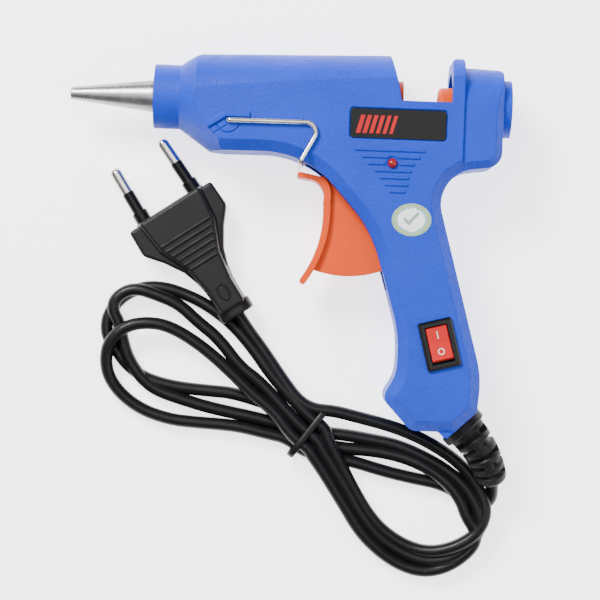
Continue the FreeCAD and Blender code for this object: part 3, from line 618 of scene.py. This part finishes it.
def plug_collar(mats):
    """The short rounded collar that the cord goes into."""
    radius, flatness, edge_round, squareness, count = 5.7, 0.95, 0.7, 0.7, 40
    start, step, steps = -37.4, 0.2, 20
    path = [PLUG_PLACE @ Vector((start - step * i, 0, 0)) for i in range(steps + 1)]

    def section(s, total):
        r = radius - rounded(min(s, total - s), edge_round)
        return [(r * squared(math.cos(a), squareness), r * flatness * squared(math.sin(a), squareness))
                for a in (2 * math.pi * k / count for k in range(count))]

    return plug_piece("collar", sweep(path, section), mats)


def plug(mats):
    """The plug's body.  Along it, 0 is the face that the pins stand on, and the cord is at -41.4."""
    parts = plug_blocks(mats) + [plug_oval(mats)] + plug_ribs(mats) + [plug_collar(mats)]
    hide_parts("plug_body")
    return parts


# ---------------------------------------------------------------- printed marks
SUNK, PROUD = 0.05, 0.03                 # how far a flat print reaches under and over its surface


def label_bars(mats):
    """Six slanted bars on the label, each a little narrower than the one before."""
    surface = TOP - 0.1
    first, pitch, low, high, slant = 20.4, 2.05, 33.6, 39.2, 1.5
    for i in range(6):
        x = first + pitch * i
        width = 1.35 - 0.06 * i
        bar = [(x, low), (x + width, low), (x + width + slant, high), (x + slant, high)]
        verts, faces = prism(bar, surface - SUNK, surface + PROUD, LEVEL)
        piece(f"label_bar_{i + 1}", verts, faces, "housing", mats["red_ink"], False)


def sticker_tick(mats):
    surface = TOP + 0.15
    tick = [(35.9, 7.7), (36.5, 8.3), (37.6, 7.2), (40.3, 10.1), (41.0, 9.5), (37.6, 5.8)]
    verts, faces = prism(tick, surface - SUNK, surface + PROUD, LEVEL)
    piece("sticker_tick", verts, faces, "housing", mats["grey"], False)


def rocker_marks(mats):
    """I and O on the rocker's two sloping faces, in the switch's own frame."""
    pivot, rest_tilt = 1.3, math.radians(-8)
    centre, rise, half_length = 2.6, 0.65, 5.1
    switch = (Matrix.Translation((48.5, -30.15, TOP)) @ Matrix.Rotation(math.radians(14.8), 4, "Z")
              @ Matrix.Translation((0, 0, -pivot)) @ Matrix.Rotation(rest_tilt, 4, "X")
              @ Matrix.Translation((0, 0, pivot)))

    def face(sign):
        tilt = math.atan2(rise, half_length) * sign
        middle = (0, centre * sign, 1.25 + centre * rise / half_length)
        return switch @ Matrix.Translation(middle) @ Matrix.Rotation(tilt, 4, "X")

    half, stroke, proud = 1.15, 0.15, 0.04
    bar = [(-half, -stroke), (half, -stroke), (half, stroke), (-half, stroke)]
    upright = face(1) @ Matrix.Rotation(math.pi / 2, 4, "Z")
    verts, faces = prism(bar, -SUNK, proud, upright)
    piece("rocker_mark_on", verts, faces, "rocker", mats["white"], False)
    verts, faces = band(oval(1.05, 1.05), oval(0.76, 0.76), -SUNK, proud, face(-1))
    piece("rocker_mark_off", verts, faces, "rocker", mats["white"], False)


def printed(mats):
    label_bars(mats)
    sticker_tick(mats)
    rocker_marks(mats)


# ---------------------------------------------------------------- floor and light
def paper_floor():
    """A white sheet under the part, which glows so that it looks even."""
    half = 2
    paper = Nodes("floor_paper")
    cloud = paper.noise(6, 3)
    paper.link(paper.ramp(cloud, (0.3, (0.93, 0.93, 0.93)), (0.7, (0.95, 0.95, 0.95))),
               paper.shader.inputs["Base Color"])
    paper.put(Roughness=0.8, Emission_Color=(1, 1, 1, 1), Emission_Strength=2.4)
    paper.bump(paper.noise(900, 2), 0.05, 0.00003)
    mesh = bpy.data.meshes.new("floor")
    corners = [(-half, -half, 0), (half, -half, 0), (half, half, 0), (-half, half, 0)]
    mesh.from_pydata(corners, [], [(0, 1, 2, 3)])
    floor = bpy.data.objects.new("floor", mesh)
    bpy.context.scene.collection.objects.link(floor)
    mesh.materials.append(paper.material)


def lamp(name, place, size, power):
    """A rectangular lamp that points at the middle of the scene."""
    data = bpy.data.lights.new(name, "AREA")
    data.shape = "RECTANGLE"
    data.size, data.size_y = size
    data.energy = power
    obj = bpy.data.objects.new(name, data)
    bpy.context.scene.collection.objects.link(obj)
    obj.location = place
    aim = Vector((0, 0, 0)) - Vector(place)
    obj.rotation_euler = aim.to_track_quat("-Z", "Y").to_euler()


def studio():
    paper_floor()
    lamp("key", (-0.45, 0.55, 0.75), (0.4, 0.3), 20)
    lamp("fill", (0.75, -0.25, 0.6), (0.6, 0.6), 3.5)
    lamp("top", (0.0, 0.1, 1.3), (1.1, 1.1), 9)
    world = bpy.data.worlds.new("studio")
    world.use_nodes = True
    background = world.node_tree.nodes["Background"]
    background.inputs[0].default_value = (0.95, 0.97, 1.0, 1)
    background.inputs[1].default_value = 0.3
    bpy.context.scene.world = world


camera()
MATS = materials()
flex, line = make_cord(MATS)
on_cord = guard(MATS) + [tie(MATS)] + plug(MATS) + [NODES["plug_pins"], NODES["pin_sleeves"]]
finish_cad(MATS)
printed(MATS)
studio()
